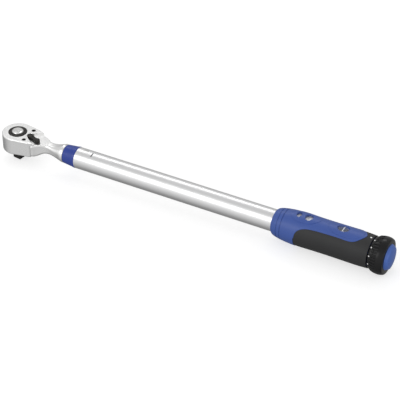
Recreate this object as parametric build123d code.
from build123d import *
import os
from math import cos, radians, sin, sqrt

# Click-type torque wrench with a reversible ratchet head and a micrometer handle.
# Frame: +X from the head to the knob, +Z up, origin at the centre of the square drive's free end.
# Lengths are in millimetres. Heights inside the functions are measured from the tube's axis.

# ---- whole wrench ----
AXIS_Z = 30.8               # height of the tube's axis above the end of the square drive
RUN = 0.05                  # radial clearance of a running fit
GAP = 0.3                   # clearance between pieces that move past each other

# ---- ratchet head ----
HEAD_R = 22.0               # plan radius of the round head
HEAD_TOP = 11.2             # top face of the head
HEAD_BOTTOM = -13.8         # bottom face of the head
FLOOR_Z = 7.6               # floor of the lever recess
SHELF_Z = 6.0               # underside of the shelf that carries the recess floor
SHOULDER = (24.6, 18.2)     # the straight side of the head passes through here
HORN = (33.6, 15.2)         # rear corner of the top plate, beside the lever recess
LOWER_CORNER = (29.9, 16.1) # where the lower body turns in towards the neck
# x, half width, bottom, top and corner radius of the forging from the head to the collar
FORGING = [(28.5, 14.6, -13.5, 5.0, 3.4), (33, 13.3, -13.5, 6.0, 3.4), (37, 10.8, -12.4, 6.8, 3.2),
           (41, 9.2, -10.2, 7.4, 3.2), (45, 7.9, -8.3, 7.6, 3.4), (50, 6.9, -7.4, 7.6, 3.8),
           (56, 7.1, -7.2, 7.2, 4.4), (62, 8.3, -8.3, 7.7, 5.8), (68, 9.9, -9.9, 9.3, 7.8),
           (73, 11.6, -11.6, 11.4, 10.2), (76, 12.3, -12.3, 12.3, 12.2)]
GEAR_R = 15.0               # tip radius of the ratchet gear
TEETH = 72
TOOTH_DEPTH = 0.9
HUB_R = 13.3                # upper hub of the gear, seen as the dark ring
HUB_TOP = 11.6
GEAR_TOP = 7.4
GEAR_BOTTOM = -10.3
LOWER_HUB_R = 9.4
SQUARE = 12.7               # half-inch square drive
SQUARE_TOP = -14.8          # the square starts 1 mm under the head
SQUARE_TURN = -8.7          # degrees, how the square stands at rest
COVER_Z = 7.9               # underside of the cover plate
COVER_R = 18.0
SCREW_AT = (18.3, 12.4)     # cover screw, and its mirror image

# ---- quick release ----
BUTTON_R = 8.0
BUTTON_TOP = 13.7
STEM_R = 2.5
BALL_R = 2.2
BALL_Z = -22.8              # height of the socket ball
BALL_OUT = 4.95             # distance of the ball's centre from the drive axis

# ---- reversing lever and pawl ----
LEVER_X = 21.0
LEVER_TURN = -20.0          # degrees, the lever points to the near side at rest
LEVER_REACH = 15.2
LEVER_BOSS_R = 4.6
SHAFT_R = 2.6
PAWL_TURN = -8.0            # degrees, the pawl's own turn at rest
PAWL_TOP = 5.0
PAWL_BOTTOM = -7.0

# ---- neck, ring and tube ----
NECK_END = 79.4
RING_X = 80.0
TUBE_X = 99.3
TUBE_R = 15.0
TUBE_BORE = 12.5
TUBE_END = 480.0
SHANK_R = 10.2
SHANK_END = 160.5
PIVOT_X = 112.0
PIVOT_R = 4.0

# ---- click mechanism and main spring ----
TOGGLE_X = 170.5            # centre of the toggle's rounded end
TOGGLE_R = 3.5
PLUNGER_END = 186.0
SPRING_R = 9.4              # mean radius of the main spring
SPRING_WIRE = 1.9           # radius of its wire
SPRING_TURNS = 23
NUT_X = 412.0
NUT_END = 424.0
WASHER = 2.0

# ---- adjusting screw and scales ----
SCREW_R = 5.0
SCREW_X = 402.0
BLOCK_X = 469.0
BLOCK_END = 476.0
PIN_X = 472.5               # the two pins that hold the bearing block, tube and handle together
PIN_SIZE = 1.5
FLANGE_X = 464.0
DRUM_X = 486.0
DRUM_END = 508.0
DRUM_R = 17.0
HEX = 8.6                   # across flats of the screw's rear end
HEX_X = 522.0
SCREW_END = 557.5
SCALE_TRAVEL = 6.0          # how far the nut and its scale move each way

# ---- handle ----
SKIN = 2.2                  # thickness of the overmould and of the rear panel
GRIP_END = 538.0
GRIP_CURVE = [(401, 16.0), (402.6, 17.7), (406, 19.2), (412, 20.6), (420, 21.8), (430, 22.6),
              (442, 23.0), (460, 22.7), (480, 22.6), (505, 22.8), (525, 22.9), (538, 22.3)]
GRIP_GROOVES = [(410, 19.75), (415.5, 20.65)]   # start and floor radius of the two fine grooves
SHELL_FRONT = 436.0         # the blue shell goes all the way round in front of this
TONGUE = [(436, 24.0), (439, 20.7), (444, 18.2), (452, 16.1), (462, 15.0), (476, 14.6),
          (500, 14.6), (511, 14.7), (518, 13.2), (523, 9.8), (527.5, 4.6), (529.5, 0)]
PANEL = [(476.3, 0), (478, 4.2), (480.4, 7.2), (484.4, 9.7), (490, 11.6), (500, 12.5),
         (510, 12.4), (516, 11.0), (520.8, 7.6), (524.8, 3.6), (526.2, 0)]
SURROUND = [(425, 0), (427, 6.4), (432.6, 10.4), (444, 11.6), (452, 10.6), (459.5, 6.6), (465, 0)]
SURROUND_RISE = 0.45        # how far the window surround stands out of the shell
SEAM = 0.2
SUNK = 0.5                  # the overmould lies this much below the blue shell
CAVITY_R = 17.5             # room for the fine scale drum
SPIGOT_R = 16.5
WINDOW_SMALL = (434.8, 7.2, 10.6)   # middle, length along the tube, width across it
WINDOW_LARGE = (448.8, 10.4, 13.4)
WINDOW_REAR = (496.8, 17.0, 12.0)
WINDOW_LOW = 19.8
LENS = 1.0
INDEX_X = 535.0             # index dot on the overmould, in front of the knob
INDEX_LOW = 21.2

# ---- knob ----
KNOB_X = 538.6
KNOB_CURVE = [(538.6, 20.6), (541, 21.9), (544, 23.2), (548, 24.9), (551, 25.3), (555, 25.1),
              (558.5, 24.2), (560.5, 22.9)]
KNOB_END = 560.5
KNOB_PULL = 5.0
FLUTES = 36
DOTS = 12
DOT_R = 0.9
LOCK_X = 548.0              # the small ball and spring that hold the knob in or out
CAP_R = 17.5
CAP_END = 567.0


# ---- helpers ----
def x_plane(x):
    """Plane square to the tube's axis, with its own X axis along +Y."""
    return Plane(origin=(x, 0, AXIS_Z), x_dir=(0, 1, 0), z_dir=(1, 0, 0))


def rod(x0, x1, r):
    """Round bar on the tube's axis."""
    return extrude(x_plane(x0) * Circle(r), x1 - x0)


def sleeve(x0, x1, outer, inner):
    return rod(x0, x1, outer) - rod(x0 - 1, x1 + 1, inner)


def post(x, y, z0, z1, r):
    """Upright round bar."""
    return Pos(x, y, AXIS_Z + z0) * extrude(Circle(r), z1 - z0)


def slab(sketch, z0, z1):
    """A plan outline raised between two heights."""
    return Pos(0, 0, AXIS_Z + z0) * extrude(sketch, z1 - z0)


def block(x0, x1, y0, y1, z0, z1):
    centre = Pos((x0 + x1) / 2, (y0 + y1) / 2, AXIS_Z + (z0 + z1) / 2)
    return centre * Box(x1 - x0, y1 - y0, z1 - z0)


def turned(points):
    """Solid turned about the tube's axis from (x, radius) corners."""
    corners = [(x, 0, AXIS_Z + r) for x, r in points]
    return revolve(make_face(Polyline(*corners, close=True)), Axis((0, 0, AXIS_Z), (1, 0, 0)), 360)


def spun(points):
    """Solid turned about the drive axis from (radius, height) corners."""
    corners = [(r, 0, AXIS_Z + z) for r, z in points]
    return revolve(make_face(Polyline(*corners, close=True)), Axis.Z, 360)


def turned_curve(curve, inset, end_x):
    """Solid turned about the tube's axis inside a smooth line of (x, radius) points.

    The line is drawn under the axis, so that the seam of the turned face lies at the bottom.
    """
    line = Spline(*[(x, 0, AXIS_Z - r + inset) for x, r in curve])
    first, last = curve[0][0], curve[-1][0]
    base = Polyline((last, 0, AXIS_Z - curve[-1][1] + inset), (last, 0, AXIS_Z),
                    (first, 0, AXIS_Z), (first, 0, AXIS_Z - curve[0][1] + inset))
    solid = revolve(make_face(line + base), Axis((0, 0, AXIS_Z), (1, 0, 0)), 360)
    return solid & rod(first - 1, end_x, 40)


def both_sides(solid):
    return solid + mirror(solid, Plane.XZ)


def on_drive(solid):
    """Turns a piece with the square drive."""
    return Rot(0, 0, SQUARE_TURN) * solid


def at_lever(angle):
    """A turn about the lever's own axis."""
    return Pos(LEVER_X, 0, 0) * Rot(0, 0, angle) * Pos(-LEVER_X, 0, 0)


# ---- ratchet head ----
def head_outline(rear, arc_middle=None):
    """Plan outline: round front, straight sides, then the rear corners of the +Y side.

    With arc_middle, the last stretch before the final corner is an arc through that point.
    """
    tangent = (HEAD_R * sin(radians(6)), HEAD_R * cos(radians(6)))
    lines = ThreePointArc((tangent[0], -tangent[1]), (-HEAD_R, 0), tangent)
    for side in (1, -1):
        points = [(x, side * y) for x, y in [tangent] + rear]
        if arc_middle:
            middle = (arc_middle[0], side * arc_middle[1])
            lines += Polyline(*points[:-1]) + ThreePointArc(points[-2], middle, points[-1])
        else:
            lines += Polyline(*points)
    return make_face(lines + Line(rear[-1], (rear[-1][0], -rear[-1][1])))


def forging():
    """Rear of the head, its neck and the flare up to the round collar, in one smooth run."""
    faces = []
    for x, half_width, bottom, top, corner in FORGING:
        outline = RectangleRounded(2 * half_width, top - bottom, corner)
        faces.append(x_plane(x) * Pos(0, (top + bottom) / 2) * outline)
    return loft(faces)


def top_plate_outline():
    """The top plate reaches back in two horns beside the lever recess."""
    boss = LEVER_BOSS_R + GAP + 0.3
    plate = head_outline([SHOULDER, HORN, (LEVER_X - 0.6, boss)])
    return plate - Pos(LEVER_X, 0) * Circle(boss)


def head_body():
    lower = slab(head_outline([LOWER_CORNER]), HEAD_BOTTOM, SHELF_Z + 1)
    lower = fillet(lower.edges().filter_by(Axis.Z).group_by(Axis.X)[-1], 3.0)
    lower = fillet(lower.faces().sort_by(Axis.Z)[0].edges(), 2.2)
    shelf = slab(head_outline([HORN, (35.4, 13.2), (52.0, 4.6)], (43.6, 10.2)), SHELF_Z, FLOOR_Z)
    rim = shelf.faces().sort_by(Axis.Z)[-1]
    shelf = fillet([e for e in rim.edges() if 34.5 < e.center().X < 51], 1.2)
    plate = slab(top_plate_outline(), SHELF_Z, HEAD_TOP)
    top = plate.faces().sort_by(Axis.Z)[-1]
    outer = [e for e in top.edges() if (e @ 0.5).X ** 2 + (e @ 0.5).Y ** 2 > 19 ** 2]
    plate = fillet(outer, 1.3)
    solid = lower + forging() + shelf + plate
    collar = turned([(75.6, 0), (75.6, 12.5), (76.2, 13.1), (NECK_END - 0.4, 13.1), (NECK_END, 12.7),
                     (NECK_END, 0)])
    shank = turned([(NECK_END - 1, 0), (NECK_END - 1, SHANK_R), (PIVOT_X + 16, SHANK_R),
                    (PIVOT_X + 24, 9.2), (SHANK_END - 1, 9.2), (SHANK_END, 8.2), (SHANK_END, 0)])
    solid += collar + shank
    solid -= spun([(0, GEAR_BOTTOM - 0.2), (GEAR_R + GAP, GEAR_BOTTOM - 0.2), (GEAR_R + GAP, 20), (0, 20)])
    solid -= post(0, 0, -20, 0, LOWER_HUB_R + RUN)
    solid -= spun([(0, HEAD_BOTTOM + 0.9), (10.8, HEAD_BOTTOM + 0.9), (10.8, HEAD_BOTTOM + 2.3),
                   (0, HEAD_BOTTOM + 2.3)])
    solid -= slab(cover_outline(0), COVER_Z, 20)
    solid -= block(10, 26.2, -11.5, 11.5, PAWL_BOTTOM - GAP, PAWL_TOP + GAP)
    solid -= post(LEVER_X, 0, -11.3, 20, SHAFT_R + RUN)
    solid -= Pos(23.4, 0, AXIS_Z - 9.3) * Rot(0, 90, 0) * extrude(Circle(1.35), 9)
    for side in (1, -1):
        solid -= post(SCREW_AT[0], side * SCREW_AT[1], -2, 20, 1.5)
    solid -= post(PIVOT_X, 0, -20, 20, PIVOT_R + RUN)
    return solid


def cover_outline(margin):
    plate = Circle(COVER_R - margin)
    for side in (1, -1):
        plate += Pos(SCREW_AT[0], side * SCREW_AT[1]) * Circle(3.9 - margin)
        web = [(8, side * 15.5), (SCREW_AT[0], side * (SCREW_AT[1] + 3.9 - margin)),
               (SCREW_AT[0] - 1, side * (SCREW_AT[1] - 3.9 + margin)), (12, side * 8)]
        plate += make_face(Polyline(*web, close=True))
    return plate - Pos(LEVER_X, 0) * Circle(LEVER_BOSS_R + GAP + 0.3 + margin)


def head_cover():
    plate = slab(cover_outline(0.08), COVER_Z, HEAD_TOP)
    plate -= post(0, 0, 0, 20, HUB_R + RUN)
    for side in (1, -1):
        plate -= post(SCREW_AT[0], side * SCREW_AT[1], 0, 20, 1.65)
        plate -= post(SCREW_AT[0], side * SCREW_AT[1], HEAD_TOP - 1.9, 20, 2.95)
    return plate


def cover_screws():
    """Two cap screws with hexagon sockets."""
    x, y = SCREW_AT
    shank = post(x, y, 0, HEAD_TOP - 1.9, 1.5)
    head = post(x, y, HEAD_TOP - 1.9, HEAD_TOP - 0.1, 2.85)
    socket = slab(Pos(x, y) * RegularPolygon(1.45, 6), HEAD_TOP - 1.4, HEAD_TOP + 1)
    return both_sides(shank + head - socket)


def drive_seal():
    """O-ring round the gear's lower hub."""
    groove_z = HEAD_BOTTOM + 1.6
    return Pos(0, 0, AXIS_Z + groove_z) * Torus(10.15, 0.62)


# ---- drive gear and quick release ----
def gear_profile(tip, spread):
    """Plan outline of the toothed ring, or of the sector that faces the pawl."""
    pitch = 360 / TEETH
    points = []
    steps = int(spread / pitch)
    for i in range(-steps, steps + (0 if spread == 180 else 1)):
        for r, a in ((tip, i * pitch), (tip - TOOTH_DEPTH, (i + 0.5) * pitch)):
            points.append((r * cos(radians(a)), r * sin(radians(a))))
    if spread < 180:
        points += [(0, tip * 0.4), (0, -tip * 0.4)]
    return make_face(Polyline(*points, close=True))


def drive_gear():
    """Gear, hubs and square in one piece, bored for the release stem."""
    toothed = slab(gear_profile(GEAR_R, 180), PAWL_BOTTOM - 1, GEAR_TOP)
    solid = spun([(0, GEAR_BOTTOM), (13.6, GEAR_BOTTOM), (13.6, GEAR_TOP), (0, GEAR_TOP)])
    solid += spun([(0, GEAR_TOP), (HUB_R, GEAR_TOP), (HUB_R, HUB_TOP - 0.5), (HUB_R - 0.5, HUB_TOP),
                   (0, HUB_TOP)])
    solid += spun([(0, SQUARE_TOP), (LOWER_HUB_R - 0.3, SQUARE_TOP), (LOWER_HUB_R, SQUARE_TOP + 0.3),
                   (LOWER_HUB_R, GEAR_BOTTOM), (0, GEAR_BOTTOM)])
    square = slab(RectangleRounded(SQUARE, SQUARE, 0.7), -AXIS_Z, SQUARE_TOP + 0.5)
    end = square.faces().sort_by(Axis.Z)[0]
    solid += chamfer(end.edges(), 0.6)
    solid -= spun([(0, 5.5), (BUTTON_R + 0.1, 5.5), (BUTTON_R + 0.1, 20), (0, 20)])
    solid -= post(0, 0, -26.5, 10, STEM_R + RUN)
    hole = Pos(0, 0, AXIS_Z + BALL_Z) * Rot(0, 90, 0)
    solid -= hole * extrude(Circle(BALL_R + RUN), 10)
    bore = post(0, 0, PAWL_BOTTOM - 2, GEAR_TOP + 1, BUTTON_R + 1)
    return on_drive(solid) + (toothed - bore)


def release_button():
    """Domed button head."""
    cap = spun([(0, BUTTON_TOP - 4.7), (BUTTON_R, BUTTON_TOP - 4.7), (BUTTON_R, BUTTON_TOP - 1.2),
                (BUTTON_R - 0.8, BUTTON_TOP - 0.35), (BUTTON_R - 2.2, BUTTON_TOP), (0, BUTTON_TOP)])
    return on_drive(cap)


def release_stem():
    """Pin under the button, with the waist that lets the ball in."""
    z = BALL_Z
    return spun([(0, z - 1.1), (STEM_R, z - 1.1), (STEM_R, z + 0.3), (1.5, z + 1.9), (1.5, z + 4.2),
                 (STEM_R, z + 5.4), (STEM_R, BUTTON_TOP - 4.7), (0, BUTTON_TOP - 4.7)])


def release_spring():
    coil = Helix(pitch=0.85, height=2.4, radius=5.0, center=(0, 0, AXIS_Z + 6.05))
    wire = Plane(origin=coil @ 0, z_dir=coil % 0) * Circle(0.33)
    return sweep(wire, path=coil, is_frenet=True)


def detent_ball():
    return on_drive(Pos(BALL_OUT, 0, AXIS_Z + BALL_Z) * Sphere(BALL_R))


# ---- reversing lever and pawl ----
def rounded_disc(x, z0, z1, r, edge):
    """Upright disc on the X axis whose upper rim is rounded off by a quarter circle."""
    rim = [(r - edge + edge * cos(radians(a)), z1 - edge + edge * sin(radians(a))) for a in range(0, 91, 15)]
    corners = [(x + q, 0, AXIS_Z + z) for q, z in [(0, z0), (r, z0)] + rim + [(0, z1)]]
    return revolve(make_face(Polyline(*corners, close=True)), Axis((x, 0, 0), (0, 0, 1)), 360)


def reversing_lever():
    """Waisted lever with a shaft: a boss, a waist and a finger pad."""
    pad_x = LEVER_X + LEVER_REACH
    low = FLOOR_Z + GAP + 0.1
    solid = rounded_disc(LEVER_X, low, low + 4.2, LEVER_BOSS_R, 1.2)
    waist = make_face(Polyline((LEVER_X, 3.8), (LEVER_X + 8, 2.5), (pad_x, 3.2), (pad_x, -3.2),
                               (LEVER_X + 8, -2.5), (LEVER_X, -3.8), close=True))
    solid += slab(waist, low, low + 3.2)
    solid += rounded_disc(pad_x, low, low + 4.4, 4.0, 1.2)
    solid += post(LEVER_X, 0, -11.0, low + 1, SHAFT_R)
    return at_lever(LEVER_TURN) * solid


def pawl():
    """Two-ended pawl that rocks on the lever's shaft. Its teeth are cut by the gear's own outline."""
    arm = make_face(Polyline((9.5, -10.2), (17.6, -10.2), (24, -4), (24, 4), (17.6, 10.2), (9.5, 10.2),
                             close=True))
    blank = arm + Pos(LEVER_X, 0) * Circle(4.4)
    cutter = gear_profile(GEAR_R + 0.15, 60)
    for step in range(-8, 9):
        angle = step * PAWL_TURN / 8
        blank -= Pos(LEVER_X, 0) * Rot(0, 0, angle) * Pos(-LEVER_X, 0) * cutter
    blank -= Pos(LEVER_X, 0) * Circle(SHAFT_R + RUN)
    return at_lever(PAWL_TURN) * slab(blank, PAWL_BOTTOM, PAWL_TOP)


def lever_detent_ball():
    return Pos(LEVER_X + SHAFT_R + 1.3, 0, AXIS_Z - 9.3) * Sphere(1.25)


def lever_detent_spring():
    start = LEVER_X + SHAFT_R + 2.9
    coil = Helix(pitch=1.0, height=5.0, radius=0.85, center=(start, 0, AXIS_Z - 9.3), direction=(1, 0, 0))
    wire = Plane(origin=coil @ 0, z_dir=coil % 0) * Circle(0.2)
    return sweep(wire, path=coil, is_frenet=True)


# ---- ring, tube and pivot ----
def front_ring():
    """Tapered ring that closes the mouth of the tube, with a spigot inside it."""
    return turned([(RING_X, 11.5), (RING_X, 12.9), (RING_X + 0.5, 13.2), (TUBE_X - 3.4, 14.8),
                   (TUBE_X - 2.4, 15.2), (TUBE_X - 1, 15.2), (TUBE_X, 14.6), (TUBE_X, TUBE_BORE),
                   (TUBE_X + 3, TUBE_BORE), (TUBE_X + 3, 11.5)])


def tube():
    solid = turned([(TUBE_X, TUBE_BORE), (TUBE_X, TUBE_R - 0.3), (TUBE_X + 0.3, TUBE_R),
                    (TUBE_END, TUBE_R), (TUBE_END, TUBE_BORE)])
    solid -= post(PIVOT_X, 0, -20, 20, PIVOT_R)
    solid -= block(NUT_X - SCALE_TRAVEL - 1, NUT_END + SCALE_TRAVEL + 1, -4.4, 4.4, 0, 20)
    solid -= Pos(PIN_X, 25, AXIS_Z) * Rot(90, 0, 0) * extrude(Circle(PIN_SIZE), 50)
    return solid


def pivot_pin():
    """Cross pin on which the head swings, flush with the tube and a little domed."""
    pin = post(PIVOT_X, 0, -15.1, 15.1, PIVOT_R)
    return pin & rod(PIVOT_X - 10, PIVOT_X + 10, 15.1)


# ---- click mechanism ----
def toggle_block():
    """Small block between the shank and the plunger; it rocks on its rounded rear end."""
    flat = SHANK_END + 0.35
    body = block(flat, TOGGLE_X, -TOGGLE_R, TOGGLE_R, -4.5, 4.5)
    return body + post(TOGGLE_X, 0, -4.5, 4.5, TOGGLE_R)


def thrust_plunger():
    solid = rod(TOGGLE_X - 0.6, PLUNGER_END - WASHER, TUBE_BORE - RUN)
    solid -= post(TOGGLE_X, 0, -4.8, 4.8, TOGGLE_R + RUN)
    solid -= block(TOGGLE_X - 4, TOGGLE_X + 0.05, -4.6, 4.6, -4.8, 4.8)
    return solid + rod(PLUNGER_END - WASHER - 0.1, PLUNGER_END + 7, 6.6)


def front_spring_washer():
    return sleeve(PLUNGER_END - WASHER, PLUNGER_END, 12.0, 6.65)


def main_spring():
    """Closed-coil rest shape of the load spring."""
    length = NUT_X - WASHER - PLUNGER_END - 2 * SPRING_WIRE - 0.6
    start = PLUNGER_END + SPRING_WIRE + 0.3
    coil = Helix(pitch=length / SPRING_TURNS, height=length, radius=SPRING_R,
                 center=(start, 0, AXIS_Z), direction=(1, 0, 0))
    wire = Plane(origin=coil @ 0, z_dir=coil % 0) * Circle(SPRING_WIRE)
    return sweep(wire, path=coil, is_frenet=True)


def rear_spring_washer():
    return sleeve(NUT_X - WASHER, NUT_X, 12.0, SCREW_R + 0.4)


def load_nut():
    """Travelling nut that loads the spring; a flat key runs in the tube's slot."""
    solid = sleeve(NUT_X, NUT_END, TUBE_BORE - RUN, SCREW_R + RUN)
    key = block(NUT_X + 2, NUT_END - 1, -4, 4, 9, 16)
    return solid + (key & rod(NUT_X, NUT_END, 15.3))


# ---- adjusting screw and its bearings ----
def adjusting_screw():
    solid = rod(SCREW_X, HEX_X, SCREW_R) + rod(FLANGE_X, FLANGE_X + 3, 9.0)
    hexagon = extrude(x_plane(HEX_X) * RegularPolygon(HEX / 2, 6, major_radius=False), SCREW_END - HEX_X)
    solid += hexagon & rod(HEX_X - 1, SCREW_END + 1, SCREW_R - 0.05)
    return solid - rod(SCREW_END - 9.5, SCREW_END + 1, 1.7)


def thrust_bearing():
    return sleeve(FLANGE_X + 3, BLOCK_X, 10.5, SCREW_R + RUN)


def bearing_block():
    solid = sleeve(BLOCK_X, BLOCK_END, TUBE_BORE - 0.02, SCREW_R + RUN)
    for side in (1, -1):
        solid -= Pos(PIN_X, side * 15, AXIS_Z) * Rot(side * 90, 0, 0) * extrude(Circle(PIN_SIZE), 7)
    return solid


def handle_pins():
    """Two short cross pins that hold the bearing block, tube and handle together."""
    pin = Pos(PIN_X, 19.6, AXIS_Z) * Rot(90, 0, 0) * extrude(Circle(PIN_SIZE), 11.4)
    return both_sides(pin)


def fine_scale_drum():
    """Drum under the rear window, on a thin web."""
    solid = sleeve(DRUM_X, DRUM_END, DRUM_R, SCREW_R)
    solid -= sleeve(DRUM_X - 1, DRUM_X + 8, DRUM_R - 1.8, 7.5)
    solid -= sleeve(DRUM_END - 8, DRUM_END + 1, DRUM_R - 1.8, 7.5)
    return solid


def coarse_scale():
    """Curved scale strip over the tube, carried by the nut's key."""
    strip = sleeve(NUT_END + 0.5, 461, 19.3, 15.9) + sleeve(NUT_X + 2, NUT_END + 1, 17.3, 15.35)
    wedge = make_face(Polyline((0, 0), (-12.0, 24), (12.0, 24), close=True))
    return strip & extrude(x_plane(NUT_X) * wedge, 60)


def rear_bush():
    return sleeve(512, 520, 11.95, SCREW_R + RUN)


def knob_screw():
    head = rod(SCREW_END, SCREW_END + 2.2, 6.2) + rod(549, SCREW_END, 1.65)
    return head - extrude(x_plane(SCREW_END + 0.8) * RegularPolygon(2.0, 6), 3)


# ---- handle ----
def tongue_outline():
    """Plan outline of the blue tongue along the top of the handle."""
    upper = Spline(*TONGUE)
    lower = Spline(*[(x, -y) for x, y in TONGUE])
    return make_face(upper + lower + Line(TONGUE[0], (TONGUE[0][0], -TONGUE[0][1])))


def closed_outline(points):
    """Smooth closed outline from the +Y half of its points, both ends on the middle line."""
    around = points + [(x, -y) for x, y in reversed(points[1:-1])]
    return make_face(Spline(*around, periodic=True))


def grip_blank(inset):
    return turned_curve(GRIP_CURVE, inset, GRIP_END)


def skin_space(x):
    """Everything outside the handle's core behind x, as far as the rear end."""
    return rod(x, GRIP_END, 40) - grip_blank(SKIN)


def tongue_space():
    return slab(tongue_outline(), 0, 30)


def panel_space(margin):
    front, *sides, rear = PANEL
    points = [(front[0] + margin, 0)] + [(x, y - margin) for x, y in sides] + [(rear[0] - margin, 0)]
    return slab(closed_outline(points), 0, 30)


def window_spaces():
    return [slab(Pos(x, 0) * Ellipse(length / 2, width / 2), 10, 30)
            for x, length, width in (WINDOW_SMALL, WINDOW_LARGE, WINDOW_REAR)]


def grip_shell():
    """Handle core with the blue front, the tongue and the cavities for both scales."""
    solid = grip_blank(0) + rod(GRIP_END - 1, 549, SPIGOT_R)
    solid -= skin_space(SHELL_FRONT) - tongue_space()
    solid -= skin_space(PANEL[0][0] - 1) & panel_space(0)
    solid += grip_blank(-SURROUND_RISE) & slab(closed_outline(SURROUND), 18, 30)
    solid -= rod(390, TUBE_END + 0.3, TUBE_R + 0.03)
    solid -= rod(TUBE_END - 1, 511, CAVITY_R)
    solid -= rod(510, 550, 12.0)
    wedge = make_face(Polyline((0, 0), (-13.2, 25), (13.2, 25), close=True))
    strip = rod(418, 468, WINDOW_LOW) + rod(406, 419, 17.8)
    solid -= strip & extrude(x_plane(405) * wedge, 70)
    small, large, rear = window_spaces()
    solid -= small + large + rear
    for x, floor_r in GRIP_GROOVES:
        solid -= sleeve(x, x + 1.3, 30, floor_r)
    solid -= Pos(PIN_X, 20, AXIS_Z) * Rot(90, 0, 0) * extrude(Circle(PIN_SIZE + 0.02), 40)
    return solid


def grip_overmould():
    """Soft black layer on both sides, underneath and behind the tongue."""
    solid = grip_blank(SUNK) & (skin_space(SHELL_FRONT + SEAM) - tongue_space())
    return solid - post(INDEX_X, 0, INDEX_LOW, 30, 1.2)


def rear_panel():
    space = skin_space(PANEL[0][0]) & panel_space(SEAM)
    return (grip_blank(0) & space) - window_spaces()[2]


def window_lens(space, low):
    """Flat clear disc pressed into a window."""
    return space & block(390, 560, -20, 20, low, low + LENS)


def index_dot():
    return post(INDEX_X, 0, INDEX_LOW, 22.05, 1.2)


# ---- knob ----
def knob_shell():
    solid = turned_curve(KNOB_CURVE, 0, KNOB_END)
    flute = Pos(KNOB_X + 3.6, 0, AXIS_Z + 25.6) * Rot(0, 78, 0) * extrude(Circle(1.35), 10, both=True)
    flute &= rod(KNOB_X + 4, 551.5, 40)
    for i in range(FLUTES):
        solid -= Pos(0, 0, AXIS_Z) * Rot(360 / FLUTES * i, 0, 0) * Pos(0, 0, -AXIS_Z) * flute
    solid -= rod(538, 545, SPIGOT_R + 0.5) + sleeve(544, 549.5, SPIGOT_R + 0.5, 9.0)
    solid -= extrude(x_plane(540) * RegularPolygon(HEX / 2 + RUN, 6, major_radius=False), 15)
    solid -= rod(SCREW_END - KNOB_PULL - 0.1, 562, 7.0) + rod(558.5, 562, CAP_R)
    solid -= post(LOCK_X, 0, 4, 8.9, 1.3)
    for i in range(DOTS):
        solid -= dot(i)
    return solid


def dot(i):
    """One white index dot on the front cone of the knob."""
    slope = 62
    place = Pos(0, 0, AXIS_Z) * Rot(360 / DOTS * (i + 0.25), 0, 0) * Pos(541.4, 0, 21.6)
    return place * Rot(0, -(90 - slope), 0) * Cylinder(DOT_R, 1.3)


def knob_dots():
    return Compound([dot(i) for i in range(DOTS)])


def end_cap():
    rim = [(558.5, 0), (558.5, CAP_R - 0.02), (560.8, CAP_R - 0.02), (561.4, CAP_R - 0.4)]
    dome_r = CAP_R - 2.6
    rise = 2.2
    radius = (dome_r ** 2 + rise ** 2) / (2 * rise)
    dome = []
    for i in range(8):
        r = dome_r * (1 - i / 8)
        dome.append((CAP_END - radius + sqrt(radius ** 2 - r ** 2), r))
    solid = turned(rim + dome + [(CAP_END, 0)])
    return solid - rod(558, 561, 9.4)


def lock_ball():
    return Pos(LOCK_X, 0, AXIS_Z + 5.6) * Sphere(1.2)


def lock_spring():
    return post(LOCK_X, 0, 7, 8.6, 1.1) - post(LOCK_X, 0, 6, 9, 0.8)


# ---- all pieces ----
def window_pieces():
    small, large, rear = window_spaces()
    return {
        "small_window": window_lens(small, WINDOW_LOW + 0.3),
        "large_window": window_lens(large, WINDOW_LOW + 0.3),
        "rear_window": window_lens(rear, 20.2),
    }


PIECES = [head_body, head_cover, cover_screws, drive_seal, drive_gear, release_button, release_stem,
          release_spring, detent_ball, reversing_lever, pawl, lever_detent_ball, lever_detent_spring,
          front_ring, tube, pivot_pin, toggle_block, thrust_plunger, front_spring_washer, main_spring,
          rear_spring_washer, load_nut, adjusting_screw, thrust_bearing, bearing_block, handle_pins,
          fine_scale_drum, coarse_scale, rear_bush, knob_screw, grip_shell, grip_overmould, rear_panel,
          index_dot, knob_shell, knob_dots, end_cap, lock_ball, lock_spring]

os.makedirs("parts", exist_ok=True)
made = {piece.__name__: piece() for piece in PIECES}
made.update(window_pieces())
for name, solid in made.items():
    export_step(solid, f"parts/{name}.step")
    print(f"{name:22s} {solid.volume:10.1f} mm3")
